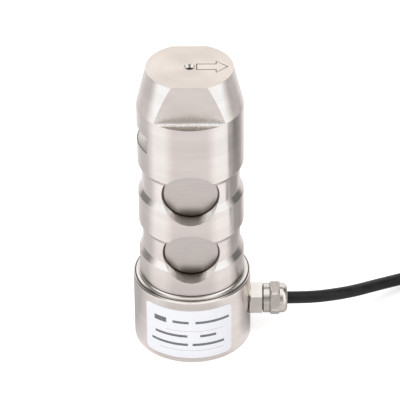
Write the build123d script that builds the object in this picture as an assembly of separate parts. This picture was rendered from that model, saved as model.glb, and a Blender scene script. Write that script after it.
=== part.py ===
from build123d import *
import math
import os

# Shear pin load cell, standing on its head. Millimetres, +Z up.
# The origin is the middle of the head's outer face. The cable gland points along +X,
# the keeper slot faces -X, and the gauge pockets and spanner flats face -Y and +Y.

# Turned pin and head
pin_diameter = 50.0
pin_height = 149.3
head_step = 3.25
head_height = 36.1
shoulder_fillet = 1.5
shoulder_round = 1.5
head_edge_chamfer = 0.6
cone_height = 19.1
tip_diameter = 40.7
flats_across = 37.3
flats_corner = 0.8
centre_drill_mouth = 5.4
centre_drill_pilot = 2.4
centre_drill_depth = 6.0
centre_drill_angle = 60.0

# Load grooves and gauge pockets
lower_groove_z = 58.3
groove_pitch = 33.0
groove_width = 16.8
groove_depth = 1.85
groove_bevel = 2.9
pocket_diameter = 27.0
pocket_depth = 7.7
gauge_cover_thickness = 1.0
gauge_cover_clearance = 0.6
gauge_cover_edge = 0.3
gauge_cover_seat = 2.0
web_thickness = 12.0

# Keeper slot
keeper_slot_z = 115.95
keeper_slot_width = 8.7
keeper_slot_depth = 5.1

# Wiring cavity in the head
cavity_wall = 3.25
cavity_depth = 26.0
wiring_bore_diameter = 4.0

# End cover, its seal and its screws
cover_ledge_width = 7.0
cover_thickness = 3.0
cover_spigot_height = 4.6
cover_clearance = 0.1
seal_section = 2.0
seal_squeeze = 0.3
seal_groove_side = 0.2
cover_screw_count = 4
cover_screw_diameter = 2.5
cover_screw_length = 8.0
cover_screw_head = 4.7
cover_screw_socket = 1.5
cover_screw_sunk = 0.15
thread_clearance = 0.05
screw_hole_clearance = 0.15
tapping_depth_spare = 1.5

# Gauges and their wires
gauge_width = 12.0
gauge_height = 9.0
gauge_thickness = 0.2
gauge_foil = 0.1
gauge_rise = 2.2
terminal_width = 8.0
terminal_height = 3.2
terminal_thickness = 0.8
terminal_drop = 6.2
solder_radius = 0.7
lead_diameter = 1.2
lead_spacing = 2.0
lead_bend = 3.0

# Junction board
board_edge_gap = 2.0
board_thickness = 1.6
board_z = 10.0
board_screw_diameter = 2.5
board_screw_inset = 3.5
board_screw_count = 3
board_screw_head = 4.4
board_screw_head_height = 1.4
board_screw_grip = 4.0
standoff_diameter = 4.8
standoff_stud = 4.0
solder_pad_radius = 0.85
solder_pad_height = 0.5
resistor_length = 4.5
resistor_diameter = 1.8
resistor_lead = 0.5

# Cable gland
gland_z = 18.2
gland_thread = 12.0
gland_hex = 15.0
spot_face_depth = 0.95
spot_face_diameter = 15.2
washer_thickness = 0.5
washer_diameter = 13.9
gland_stem_reach = 0.5
gland_foot_diameter = 14.7
gland_foot_thickness = 0.6
gland_hex_length = 5.5
gland_hex_turn = 53.7
gland_gap = 0.3
gland_nose_length = 6.6
gland_seal_seat = 2.1
gland_seal_wall = 1.15
gland_seal_length = 4.4
gland_claw_wall = 0.8
gland_claw_rim = 1.4
gland_claw_slots = 8
gland_fit = 0.05
nut_diameter = 14.5
nut_collar_length = 3.5
nut_collar_chamfer = 0.4
nut_hex_length = 4.7
nut_hex_corner = 16.6
nut_hex_turn = 41.7
nut_dome_length = 3.7
nut_dome_round = 2.6
nut_mouth_clearance = 0.35

# Cable
cable_diameter = 6.0
cable_tail_inside = 6.0
core_diameter = 1.1
core_offset = 1.0
core_straight = 1.8
core_drop = 3.0
core_pad_spacing = 3.0

# Route of the cable from the gland's mouth to the lead-in of its coil
cable_route = [
    (57.0, 0.0, gland_z),
    (68.3, 3.0, 17.5),
    (79.3, 9.8, 14.8),
    (89.8, 19.8, 10.8),
    (100.6, 29.2, 7.0),
    (111.0, 36.3, 4.9),
    (121.8, 40.6, 4.0),
    (132.8, 42.8, 4.0),
]

# Coil of the rest of the cable
coil_turn_pitch = 6.1
coil_columns = 3
coil_layers = 5
coil_middle_radius = 32.8
coil_lead_in = 23.0
coil_corner = 2.4
tie_thickness = 0.9
tie_width = 3.6
tie_clearance = 0.1
tie_angles = (205.0, 325.0)
tie_head = 5.0

# Free end of the cable
end_lift = 0.4
end_sleeve_length = 12.0
end_sleeve_wall = 0.4
end_core_diameter = 1.3
end_core_straight = 3.0

# Label
label_height = 27.8
label_from_angle = -50.0
label_to_angle = 41.5
label_z = 17.0
label_thickness = 0.15
label_glue = 0.03
label_corner = 2.5

# Worked out from the sizes above
pin_radius = pin_diameter / 2
head_radius = pin_radius + head_step
cone_base_z = pin_height - cone_height
groove_centres = {"lower": lower_groove_z, "upper": lower_groove_z + groove_pitch}
pocket_radius = pocket_diameter / 2
chamber_radius = pocket_radius - gauge_cover_seat
chamber_floor = web_thickness / 2
cover_ledge = pin_radius - pocket_depth - gauge_cover_thickness
wiring_bore_offset = (chamber_floor + cover_ledge) / 2
cover_seat_radius = head_radius - cavity_wall
cavity_radius = cover_seat_radius - cover_ledge_width
cover_screw_circle = (cavity_radius + cover_seat_radius) / 2
board_radius = cavity_radius - board_edge_gap
board_screw_circle = board_radius - board_screw_inset
spot_face_offset = head_radius - spot_face_depth
board_top = board_z + board_thickness
pad_top = board_top + solder_pad_height
cable_radius = cable_diameter / 2
gland_foot = spot_face_offset + washer_thickness
gland_hex_start = gland_foot + gland_foot_thickness
gland_hex_end = gland_hex_start + gland_hex_length
nut_start = gland_hex_end + gland_gap
nut_end = nut_start + nut_collar_length + nut_hex_length + nut_dome_length
nose_end = gland_hex_end + gland_nose_length
tail_start = cavity_radius - cable_tail_inside
far = 2 * pin_height


def front_and_back():
    """Name and sign along Y of the pin's two gauge sides."""
    return (("front", -1), ("back", 1))


def side_plane(side, offset, z):
    """A plane that faces out of the pin's front or back, with its own Y upright."""
    return Plane(origin=(0, side * offset, z), x_dir=(-side, 0, 0), z_dir=(0, side, 0))


def rod(start, end, radius):
    """A round bar between two points."""
    start, end = Vector(*start), Vector(*end)
    plane = Plane(origin=start, z_dir=end - start)
    length = (end - start).length
    bar = Cylinder(radius, length, align=(Align.CENTER, Align.CENTER, Align.MIN))
    return plane.location * bar


def x_disc(x_from, x_to, radius):
    """A round bar along the gland's axis."""
    return rod((x_from, 0, gland_z), (x_to, 0, gland_z), radius)


def ring_points(count, radius, first_angle):
    """Points evenly spaced on a circle about the pin's axis."""
    points = []
    for index in range(count):
        angle = math.radians(first_angle + 360 * index / count)
        points.append((radius * math.cos(angle), radius * math.sin(angle)))
    return points


def tube(points, radii, radius):
    """A round cord along straight runs joined by tangent arcs."""
    path = FilletPolyline(*points, radius=radii) if radii else Polyline(*points)
    start = Plane(origin=path @ 0, z_dir=path % 0)
    return sweep(start * Circle(radius), path=path)


def route_radii(points):
    """For each inner corner, 0.45 of the shorter run over the tangent of half the turn."""
    radii = []
    for before, here, after in zip(points, points[1:], points[2:]):
        run_in = Vector(*here) - Vector(*before)
        run_out = Vector(*after) - Vector(*here)
        half_turn = math.radians(run_in.get_angle(run_out)) / 2
        radii.append(0.45 * min(run_in.length, run_out.length) / math.tan(half_turn))
    return radii


# Pin


def groove_points(centre):
    """Outline points of one load groove, from its lower edge to its upper edge."""
    half = groove_width / 2
    floor = pin_radius - groove_depth
    return [
        (pin_radius, centre - half),
        (floor, centre - half + groove_bevel),
        (floor, centre + half - groove_bevel),
        (pin_radius, centre + half),
    ]


def turned_blank():
    """The pin and its head as they come off the lathe."""
    points = [(0, 0), (head_radius, 0), (head_radius, head_height), (pin_radius, head_height)]
    for centre in groove_centres.values():
        points += groove_points(centre)
    points += [(pin_radius, cone_base_z), (tip_diameter / 2, pin_height), (0, pin_height)]
    outline = make_face(Polyline(*points, close=True))
    shoulder_outer = outline.vertices().sort_by_distance((head_radius, head_height))[0]
    outline = fillet(shoulder_outer, shoulder_round)
    shoulder_inner = outline.vertices().sort_by_distance((pin_radius, head_height))[0]
    outline = fillet(shoulder_inner, shoulder_fillet)
    head_edge = outline.vertices().sort_by_distance((head_radius, 0))[0]
    outline = chamfer(head_edge, head_edge_chamfer)
    return revolve(Plane.XZ * outline, Axis.Z)


def spanner_flats():
    """The two blocks that the cutter takes off the cone, rounded at the foot as its corner is."""
    cut_y = pin_radius
    cuts = Part()
    for _, side in front_and_back():
        block = Box(far, cut_y, cone_height, align=(Align.CENTER, Align.CENTER, Align.MIN))
        foot = block.edges().filter_by(Axis.X).sort_by_distance((0, -side * cut_y / 2, 0))[0]
        block = fillet(foot, flats_corner)
        cuts += Pos(0, side * (flats_across + cut_y) / 2, cone_base_z) * block
    return cuts


def centre_drill():
    """Countersunk centre hole in the tip."""
    mouth = centre_drill_mouth / 2
    pilot = centre_drill_pilot / 2
    sink = (mouth - pilot) / math.tan(math.radians(centre_drill_angle / 2))
    points = [
        (0, 0),
        (mouth, 0),
        (pilot, -sink),
        (pilot, -centre_drill_depth),
        (0, -centre_drill_depth - pilot / 2),
    ]
    outline = make_face(Polyline(*points, close=True))
    return Pos(0, 0, pin_height) * revolve(Plane.XZ * outline, Axis.Z)


def gauge_pocket(side, centre):
    """A round pocket with a ledge for its cover and a chamber down to the web."""
    plane = side_plane(side, cover_ledge, centre)
    mouth = Cylinder(pocket_radius, pin_radius, align=(Align.CENTER, Align.CENTER, Align.MIN))
    depth = cover_ledge - chamber_floor
    chamber = Cylinder(chamber_radius, depth, align=(Align.CENTER, Align.CENTER, Align.MAX))
    return plane.location * (mouth + chamber)


def pin_body():
    body = turned_blank()
    body -= spanner_flats()
    body -= centre_drill()
    slot = Box(pin_radius, far, keeper_slot_width, align=(Align.MAX, Align.CENTER, Align.CENTER))
    body -= Pos(keeper_slot_depth - pin_radius, 0, keeper_slot_z) * slot
    for _, side in front_and_back():
        for centre in groove_centres.values():
            body -= gauge_pocket(side, centre)
        bore_y = side * wiring_bore_offset
        top = groove_centres["upper"]
        body -= rod((0, bore_y, cavity_depth / 2), (0, bore_y, top), wiring_bore_diameter / 2)
    body -= rod((0, 0, -1), (0, 0, cavity_depth), cavity_radius)
    body -= rod((0, 0, -1), (0, 0, cover_thickness), cover_seat_radius)
    for x, y in ring_points(cover_screw_count, cover_screw_circle, 45):
        depth = cover_screw_length + tapping_depth_spare
        body -= rod((x, y, 0), (x, y, depth), cover_screw_diameter / 2)
    for x, y in ring_points(board_screw_count, board_screw_circle, 60):
        depth = cavity_depth + standoff_stud + tapping_depth_spare
        body -= rod((x, y, cavity_depth - 1), (x, y, depth), board_screw_diameter / 2)
    body -= x_disc(0, 2 * head_radius, gland_thread / 2)
    body -= x_disc(spot_face_offset, 2 * head_radius, spot_face_diameter / 2)
    return body


# Gauge chambers


def gauge_cover(side, centre):
    """Thin stainless disc that closes a gauge chamber."""
    radius = pocket_radius - gauge_cover_clearance
    disc = Cylinder(radius, gauge_cover_thickness, align=(Align.CENTER, Align.CENTER, Align.MIN))
    rim = disc.edges().group_by(Axis.Z)[-1]
    disc = chamfer(rim, gauge_cover_edge)
    return side_plane(side, cover_ledge, centre).location * disc


def strain_gauge(side, centre):
    """Shear gauge: a film with two slanted grids and four solder tabs."""
    low = (Align.CENTER, Align.CENTER, Align.MIN)
    gauge = Box(gauge_width, gauge_height, gauge_thickness, align=low)
    grid = gauge_height * 0.4
    for turn in (-1, 1):
        foil = Box(grid, grid, gauge_foil, align=low)
        gauge += Pos(turn * gauge_width / 4, gauge_height / 8, gauge_thickness) * Rot(0, 0, 45) * foil
    tab_width = gauge_width / 10
    for step in (-3, -1, 1, 3):
        tab = Box(tab_width, tab_width, gauge_foil, align=low)
        gauge += Pos(step * gauge_width / 8, tab_width - gauge_height / 2, gauge_thickness) * tab
    return side_plane(side, chamber_floor, centre + gauge_rise).location * gauge


def gauge_terminals(side, centre):
    """Bonded terminal strip with four solder joints."""
    low = (Align.CENTER, Align.CENTER, Align.MIN)
    strip = Box(terminal_width, terminal_height, terminal_thickness, align=low)
    for step in (-3, -1, 1, 3):
        joint = Pos(step * terminal_width / 8, 0, terminal_thickness) * Sphere(solder_radius)
        strip += joint & Pos(0, 0, terminal_thickness / 2) * Box(far, far, far, align=low)
    return side_plane(side, chamber_floor, centre - terminal_drop).location * strip


def gauge_leads(side, centre, x):
    """Bundle of lead wires from a terminal strip down to the junction board."""
    z = centre - terminal_drop
    face = chamber_floor + terminal_thickness + solder_radius
    points = [
        (x, side * face, z),
        (x, side * wiring_bore_offset, z),
        (x, side * wiring_bore_offset, pad_top),
    ]
    return tube(points, [lead_bend], lead_diameter / 2)


# Junction board


def pad_places():
    """Where the gauge leads and the cable's cores are soldered."""
    places = []
    for _, side in front_and_back():
        places += [(x, side * wiring_bore_offset) for x in (-lead_spacing / 2, lead_spacing / 2)]
    core_x = cavity_radius / 2
    places += [(core_x, step * core_pad_spacing) for step in (-1.5, -0.5, 0.5, 1.5)]
    return places


def junction_board():
    board = rod((0, 0, board_z), (0, 0, board_top), board_radius)
    for x, y in ring_points(board_screw_count, board_screw_circle, 60):
        hole = board_screw_diameter / 2 + screw_hole_clearance
        board -= rod((x, y, board_z - 1), (x, y, board_top + 1), hole)
    for x, y in pad_places():
        board += rod((x, y, board_top), (x, y, pad_top), solder_pad_radius)
    return board


def trim_resistors():
    """Four small resistors that balance the bridge."""
    body_z = board_top + resistor_diameter / 2 + resistor_lead
    legs = resistor_length / 2 + 2 * resistor_lead
    made = []
    for x in (-2.5 * resistor_diameter, -resistor_diameter):
        for side in (-1, 1):
            y = side * (legs + resistor_lead)
            body = rod((x, y - resistor_length / 2, body_z), (x, y + resistor_length / 2, body_z),
                       resistor_diameter / 2)
            path = [(x, y - legs, board_top), (x, y - legs, body_z), (x, y + legs, body_z),
                    (x, y + legs, board_top)]
            made.append(body + tube(path, [resistor_lead, resistor_lead], resistor_lead / 2))
    return Compound(made)


def board_standoffs():
    """Pillars that hang the board from the cavity's roof."""
    made = []
    for x, y in ring_points(board_screw_count, board_screw_circle, 60):
        stud = board_screw_diameter / 2 - thread_clearance
        pillar = rod((x, y, board_top), (x, y, cavity_depth), standoff_diameter / 2)
        pillar += rod((x, y, cavity_depth), (x, y, cavity_depth + standoff_stud), stud)
        depth = board_top + board_screw_grip + tapping_depth_spare
        pillar -= rod((x, y, board_top), (x, y, depth), board_screw_diameter / 2)
        made.append(pillar)
    return Compound(made)


def board_screws():
    made = []
    for x, y in ring_points(board_screw_count, board_screw_circle, 60):
        head_z = board_z - board_screw_head_height
        head = rod((x, y, head_z), (x, y, board_z), board_screw_head / 2)
        rim = head.edges().group_by(Axis.Z)[0]
        head = fillet(rim, board_screw_head_height * 0.4)
        shank = board_screw_diameter / 2 - thread_clearance
        made.append(head + rod((x, y, board_z), (x, y, board_top + board_screw_grip), shank))
    return Compound(made)


# End cover


def seal_groove():
    """Lower edge, upper edge and floor radius of the groove for the seal."""
    height = seal_section + 2 * seal_groove_side
    low = cover_thickness + (cover_spigot_height - height) / 2
    floor = cavity_radius - seal_section + seal_squeeze
    return low, low + height, floor


def end_cover():
    """Flanged cover with a grooved spigot that closes the head."""
    flange = rod((0, 0, 0), (0, 0, cover_thickness), cover_seat_radius - cover_clearance)
    spigot_top = cover_thickness + cover_spigot_height
    spigot_radius = cavity_radius - cover_clearance
    cover = flange + rod((0, 0, cover_thickness), (0, 0, spigot_top), spigot_radius)
    low, high, floor = seal_groove()
    cover -= rod((0, 0, low), (0, 0, high), cavity_radius) - rod((0, 0, low), (0, 0, high), floor)
    hole = cover_screw_diameter / 2 + screw_hole_clearance
    sink = cover_screw_head / 2 + screw_hole_clearance
    for x, y in ring_points(cover_screw_count, cover_screw_circle, 45):
        cover -= rod((x, y, -1), (x, y, cover_thickness), hole)
        cone = Cone(sink, hole, sink - hole, align=(Align.CENTER, Align.CENTER, Align.MIN))
        cover -= Pos(x, y, 0) * cone
    return cover


def end_cover_seal():
    """Rubber ring squeezed between the spigot's groove and the cavity wall."""
    low, high, floor = seal_groove()
    width = cavity_radius - floor
    section = RectangleRounded(width - 0.02, seal_section, width * 0.45)
    middle = Pos((cavity_radius + floor) / 2, (low + high) / 2)
    return revolve(Plane.XZ * (middle * section), Axis.Z)


def end_cover_screws():
    """Countersunk socket screws, set just below the cover's face."""
    shank = cover_screw_diameter / 2 - thread_clearance
    head = cover_screw_head / 2
    sunk = cover_screw_sunk
    points = [(0, sunk), (head, sunk), (shank, sunk + head - shank), (shank, cover_screw_length),
              (0, cover_screw_length)]
    blank = revolve(Plane.XZ * make_face(Polyline(*points, close=True)), Axis.Z)
    socket = extrude(RegularPolygon(cover_screw_socket / 2, 6, major_radius=False), head / 2)
    blank -= Pos(0, 0, sunk) * socket
    return Compound([Pos(x, y, 0) * blank for x, y in ring_points(cover_screw_count, cover_screw_circle, 45)])


# Gland


def x_revolve(points):
    """A solid of revolution about the gland's axis, from (x, radius) points."""
    outline = make_face(Polyline(*points, close=True))
    return Pos(0, 0, gland_z) * revolve(Plane.XZ * outline, Axis.X)


def x_hexagon(x_from, x_to, across, turn):
    """A hexagonal bar about the gland's axis."""
    plane = Plane(origin=(x_from, 0, gland_z), x_dir=(0, 0, 1), z_dir=(1, 0, 0))
    sketch = RegularPolygon(across / 2, 6, major_radius=False, rotation=turn)
    return plane.location * extrude(sketch, x_to - x_from)


def gland_washer():
    return x_disc(spot_face_offset, gland_foot, washer_diameter / 2) - x_disc(
        spot_face_offset, gland_foot, gland_thread / 2
    )


def gland_body():
    """Stem in the head, round foot, hexagon, and a threaded nose that the nut runs on."""
    thread = gland_thread / 2 - gland_fit
    body = x_disc(cavity_radius - gland_stem_reach, nose_end, thread)
    body += x_disc(gland_foot, gland_hex_start, gland_foot_diameter / 2)
    body += x_hexagon(gland_hex_start, gland_hex_end, gland_hex, gland_hex_turn)
    body -= x_disc(0, nose_end + 1, cable_radius + nut_mouth_clearance)
    seat = cable_radius + gland_seal_wall + gland_claw_wall + 2 * gland_fit
    body -= x_disc(gland_hex_end + gland_seal_seat, nose_end + 1, seat)
    return body


def gland_seal():
    """Rubber sleeve that grips the cable."""
    start = gland_hex_end + gland_seal_seat
    outer = x_disc(start, start + gland_seal_length, cable_radius + gland_seal_wall)
    return outer - x_disc(start, start + gland_seal_length, cable_radius)


def gland_claw():
    """Slotted clamping basket that the nut pushes in over the seal."""
    inner = cable_radius + gland_seal_wall + gland_fit
    outer = inner + gland_claw_wall
    start = gland_hex_end + gland_seal_seat
    claw = x_disc(start + gland_fit, nose_end, outer)
    claw += x_disc(nose_end, nose_end + gland_claw_rim, gland_thread / 2 - 2 * gland_fit)
    claw -= x_disc(start, start + gland_seal_length + gland_fit, inner)
    claw -= x_disc(start, nose_end + gland_claw_rim + 1, cable_radius + nut_mouth_clearance)
    slot_length = nose_end - start - 1
    for index in range(gland_claw_slots // 2):
        slot = Box(slot_length, 2 * gland_thread, gland_claw_wall, align=(Align.MIN, Align.CENTER, Align.CENTER))
        turn = 360 * index / gland_claw_slots
        cut = slot - Cylinder(inner - gland_fit, far, rotation=(0, 90, 0))
        claw -= Pos(start, 0, gland_z) * Rot(turn, 0, 0) * cut
    return claw


def gland_nut():
    """Domed compression nut: collar, hexagon with turned corners, and rounded end."""
    radius = nut_diameter / 2
    hex_from = nut_start + nut_collar_length
    hex_to = hex_from + nut_hex_length
    nut = x_disc(nut_start, nut_end, radius)
    start_rim = nut.edges().filter_by(GeomType.CIRCLE).sort_by(Axis.X)[0]
    nut = chamfer(start_rim, nut_collar_chamfer)
    end_rim = nut.edges().filter_by(GeomType.CIRCLE).sort_by(Axis.X)[-1]
    nut = fillet(end_rim, nut_dome_round)
    corner = nut_hex_corner / 2
    barrel = x_disc(hex_from, hex_to, corner)
    rims = barrel.edges().filter_by(GeomType.CIRCLE)
    barrel = chamfer(rims, (corner - radius) * 0.8)
    nut += x_hexagon(hex_from, hex_to, gland_hex, nut_hex_turn) & barrel
    bore = gland_thread / 2
    mouth = cable_radius + nut_mouth_clearance
    seat = nose_end + gland_claw_rim
    hollow = [
        (nut_start - 1, 0),
        (nut_start - 1, bore),
        (seat, bore),
        (seat + bore - mouth, mouth),
        (nut_end + 1, mouth),
        (nut_end + 1, 0),
    ]
    return nut - x_revolve(hollow)


# Cable


def cable_tail():
    """The cable's jacket from the cavity to the gland's mouth."""
    return x_disc(tail_start, nut_end, cable_radius)


def cable_inner_cores():
    """Four cores from the end of the jacket to the board."""
    pad_x = cavity_radius / 2
    made = []
    for step, level in ((-1.5, 1), (-0.5, -1), (0.5, -1), (1.5, 1)):
        side = math.copysign(core_offset, step)
        z = gland_z + level * core_offset
        y = step * core_pad_spacing
        points = [
            (tail_start, side, z),
            (tail_start - core_straight, side, z),
            (pad_x, y, pad_top + core_drop),
            (pad_x, y, pad_top),
        ]
        made.append(tube(points, route_radii(points), core_diameter / 2))
    return Compound(made)


def route_points():
    return [(nut_end, 0, gland_z)] + cable_route


def cable():
    """The cable's free stretch, from the gland to the lead-in of the coil."""
    points = route_points()
    radii = route_radii(points)
    print("cable radii", [round(value, 1) for value in radii])
    made = tube(points, radii, cable_radius)
    length = FilletPolyline(*points, radius=radii).length
    print("cable run", round(length, 1), "volume ratio", round(made.volume / (math.pi * cable_radius**2 * length), 5))
    return made


def coil_place():
    """The coil's centre, the heading of its lead-in, and where that starts."""
    start = Vector(*cable_route[-1])
    heading = (start - Vector(*cable_route[-2])).normalized()
    outer = coil_middle_radius + coil_turn_pitch * (coil_columns - 1) / 2
    inward = Vector(heading.Y, -heading.X, 0)
    centre = start + heading * coil_lead_in + inward * outer
    return Vector(centre.X, centre.Y, 0), heading, start, outer


def coil_box():
    """Inner radius, outer radius, foot and top of the coil's bundle."""
    half = coil_turn_pitch * (coil_columns - 1) / 2 + cable_radius
    foot = cable_route[-1][2] - cable_radius
    top = foot + coil_turn_pitch * (coil_layers - 1) + cable_diameter
    return coil_middle_radius - half, coil_middle_radius + half, foot, top


def end_points():
    """Where the free end climbs out of the coil and lies along its top."""
    centre, heading, _, _ = coil_place()
    outward = Vector(-heading.Y, heading.X, 0)
    _, _, _, top = coil_box()
    lift = Vector(0, 0, top + cable_radius + end_lift)
    along = centre + outward * (coil_middle_radius - coil_turn_pitch / 2)
    sunk = along - heading * 4 * cable_diameter + Vector(0, 0, top - cable_radius)
    return sunk, along - heading * cable_diameter + lift, along + heading * cable_radius + lift


def cable_coil():
    """The neat coil: its bundle, the lead-in at its foot and the end on its top."""
    centre, heading, start, outer = coil_place()
    inner_radius, outer_radius, foot, top = coil_box()
    section = RectangleRounded(outer_radius - inner_radius, top - foot, coil_corner)
    middle = Pos((inner_radius + outer_radius) / 2, (foot + top) / 2)
    coil = Pos(centre.X, centre.Y, 0) * revolve(Plane.XZ * (middle * section), Axis.Z)
    reach = start + heading * coil_lead_in
    coil += rod(tuple(start), tuple(reach), cable_radius)
    points = [tuple(point) for point in end_points()]
    coil += tube(points, route_radii(points), cable_radius)
    return coil


def coil_ties():
    """Two plastic ties round the bundle, each with its locking head."""
    centre, _, _, _ = coil_place()
    inner_radius, outer_radius, foot, top = coil_box()
    gap = tie_clearance
    width = outer_radius - inner_radius + 2 * gap
    height = top - foot + 2 * gap
    made = []
    for angle in tie_angles:
        inside = RectangleRounded(width, height, coil_corner)
        outside = RectangleRounded(
            width + 2 * tie_thickness, height + 2 * tie_thickness, coil_corner + tie_thickness
        )
        band = extrude(outside - inside, tie_width / 2, both=True)
        lock_x = width / 2 + tie_head / 2 + gap
        band += Pos(lock_x, 0, 0) * Box(tie_head, tie_head, 1.5 * tie_width)
        plane = Plane(origin=(0, 0, 0), x_dir=(1, 0, 0), z_dir=(0, -1, 0))
        upright = Pos(coil_middle_radius, 0, (foot + top) / 2) * (plane.location * band)
        made.append(Pos(centre.X, centre.Y, 0) * Rot(0, 0, angle) * upright)
    return Compound(made)


def cable_end_sleeve():
    """Shrink sleeve over the end of the jacket."""
    _, heading, _, _ = coil_place()
    start = end_points()[-1]
    end = start + heading * end_sleeve_length
    return rod(tuple(start), tuple(end), cable_radius + end_sleeve_wall)


def cable_end_cores():
    """Four bare-ended cores fanned out over the top of the coil."""
    centre, heading, _, _ = coil_place()
    _, _, _, top = coil_box()
    start = end_points()[-1] + heading * end_sleeve_length
    outward = Vector(-heading.Y, heading.X, 0)
    rest_z = top + end_core_diameter / 2
    made = []
    for step, level in ((-1.5, 1), (-0.5, -1), (0.5, -1), (1.5, 1)):
        side = math.copysign(core_offset, step)
        first = start + outward * side + Vector(0, 0, level * core_offset)
        radius = coil_middle_radius - coil_turn_pitch / 2 + step * 1.8 * end_core_diameter
        points = [tuple(first), tuple(first + heading * end_core_straight)]
        begin = math.degrees(math.atan2(first.Y - centre.Y, first.X - centre.X))
        for index in (1, 2, 3):
            angle = math.radians(begin - 16 * index - 2)
            points.append(
                (centre.X + radius * math.cos(angle), centre.Y + radius * math.sin(angle), rest_z)
            )
        made.append(tube(points, route_radii(points), end_core_diameter / 2))
    return Compound(made)


# Label


def label():
    """Paper label wrapped round the head, with rounded corners."""
    inner = head_radius + label_glue
    sweep_angle = label_to_angle - label_from_angle
    section = Pos(inner + label_thickness / 2, label_z) * Rectangle(label_thickness, label_height)
    wrap = revolve(Plane.XZ * section, Axis.Z, revolution_arc=sweep_angle)
    wrap = Rot(0, 0, label_from_angle - 90) * wrap
    corners = [edge for edge in wrap.edges() if abs(edge.length - label_thickness) < 0.001]
    return fillet(corners, label_corner)


def build_nodes():
    nodes = {"pin_body": pin_body()}
    for level, centre in groove_centres.items():
        lead_x = lead_spacing / 2 if level == "upper" else -lead_spacing / 2
        for name, side in front_and_back():
            nodes[f"gauge_cover_{level}_{name}"] = gauge_cover(side, centre)
            nodes[f"strain_gauge_{level}_{name}"] = strain_gauge(side, centre)
            nodes[f"gauge_terminals_{level}_{name}"] = gauge_terminals(side, centre)
            nodes[f"gauge_leads_{level}_{name}"] = gauge_leads(side, centre, lead_x)
    nodes["junction_board"] = junction_board()
    nodes["trim_resistors"] = trim_resistors()
    nodes["board_standoffs"] = board_standoffs()
    nodes["board_screws"] = board_screws()
    nodes["end_cover"] = end_cover()
    nodes["end_cover_seal"] = end_cover_seal()
    nodes["end_cover_screws"] = end_cover_screws()
    nodes["gland_washer"] = gland_washer()
    nodes["gland_body"] = gland_body()
    nodes["gland_seal"] = gland_seal()
    nodes["gland_claw"] = gland_claw()
    nodes["gland_nut"] = gland_nut()
    nodes["cable_tail"] = cable_tail()
    nodes["cable_inner_cores"] = cable_inner_cores()
    nodes["cable"] = cable()
    nodes["cable_coil"] = cable_coil()
    nodes["coil_ties"] = coil_ties()
    nodes["cable_end_sleeve"] = cable_end_sleeve()
    nodes["cable_end_cores"] = cable_end_cores()
    nodes["label"] = label()
    return nodes


os.makedirs("parts", exist_ok=True)
for node_name, shape in build_nodes().items():
    export_step(shape, f"parts/{node_name}.step")
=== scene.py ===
import math

import bpy
from mathutils import Matrix, Vector


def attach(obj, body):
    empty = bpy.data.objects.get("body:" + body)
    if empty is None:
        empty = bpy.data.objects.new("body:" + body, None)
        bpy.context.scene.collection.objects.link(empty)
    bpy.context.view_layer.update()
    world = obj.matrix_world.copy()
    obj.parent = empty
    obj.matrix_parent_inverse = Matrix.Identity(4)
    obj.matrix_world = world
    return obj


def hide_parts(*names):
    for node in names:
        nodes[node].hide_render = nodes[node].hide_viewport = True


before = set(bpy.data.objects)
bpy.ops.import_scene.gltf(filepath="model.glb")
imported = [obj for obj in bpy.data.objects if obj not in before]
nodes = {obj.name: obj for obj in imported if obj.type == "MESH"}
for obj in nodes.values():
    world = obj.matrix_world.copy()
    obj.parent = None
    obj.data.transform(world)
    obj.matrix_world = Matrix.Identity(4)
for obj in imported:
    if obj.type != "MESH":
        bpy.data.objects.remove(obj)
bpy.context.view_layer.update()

MM = 0.001

# Sizes of the load pin that the finishes need, in metres
PIN_RADIUS = 25.0 * MM
TOP = 149.3 * MM
CONE_FOOT = 130.2 * MM
FLAT_FACE = 18.65 * MM
SHOULDER = 36.1 * MM
SLOT_FLOOR = 19.9 * MM
SLOT_LOW, SLOT_HIGH = 111.6 * MM, 120.3 * MM
GROOVES_LOW, GROOVES_HIGH = 45 * MM, 105 * MM
COVER_FACE = 17.3 * MM
BELOW_COVER_FACE = 1.2 * MM
POCKET_RADIUS = 13.5 * MM
POCKET_HEIGHTS = (58.3 * MM, 91.3 * MM)
CENTRE_HOLE_RADIUS, CENTRE_HOLE_DEPTH, CENTRE_BORE_FROM = 2.8 * MM, 9 * MM, 1.45 * MM
GLAND_HEIGHT = 18.2 * MM
GLAND_GAP = (33.82 * MM, 34.28 * MM)
NUT_FLATS = (37.7 * MM, 42.4 * MM)

# Margins by which a finish takes in or leaves out the faces at its edge
HAIR = 0.02 * MM
EDGE = 0.05 * MM
SKIN = 0.1 * MM


# Camera, at the photograph's angle

CAMERA_TURN, CAMERA_TILT, CAMERA_ROLL = 0.669, 34.108, -0.588
CAMERA_HEIGHT, CAMERA_ASIDE = 75.602, 4.178
CAMERA_DISTANCE = 1.19762
LENS, SENSOR, FARTHEST_SEEN = 227.307, 36, 20


def aim_camera():
    turn, tilt, roll = (math.radians(value) for value in (CAMERA_TURN, CAMERA_TILT, CAMERA_ROLL))
    back = Vector((math.sin(turn) * math.cos(tilt), -math.cos(turn) * math.cos(tilt), math.sin(tilt)))
    right = Vector((math.cos(turn), math.sin(turn), 0))
    up = back.cross(right)
    place = Vector((0, 0, CAMERA_HEIGHT * MM)) + right * CAMERA_ASIDE * MM + back * CAMERA_DISTANCE
    rolled_right = right * math.cos(roll) + up * math.sin(roll)
    rolled_up = up * math.cos(roll) - right * math.sin(roll)
    lens = bpy.data.cameras.new("camera")
    lens.sensor_width = SENSOR
    lens.lens = LENS
    lens.clip_end = FARTHEST_SEEN
    camera = bpy.data.objects.new("camera", lens)
    camera.matrix_world = Matrix((
        (rolled_right.x, rolled_up.x, back.x, place.x),
        (rolled_right.y, rolled_up.y, back.y, place.y),
        (rolled_right.z, rolled_up.z, back.z, place.z),
        (0, 0, 0, 1),
    ))
    bpy.context.scene.collection.objects.link(camera)
    bpy.context.scene.camera = camera


aim_camera()


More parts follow.
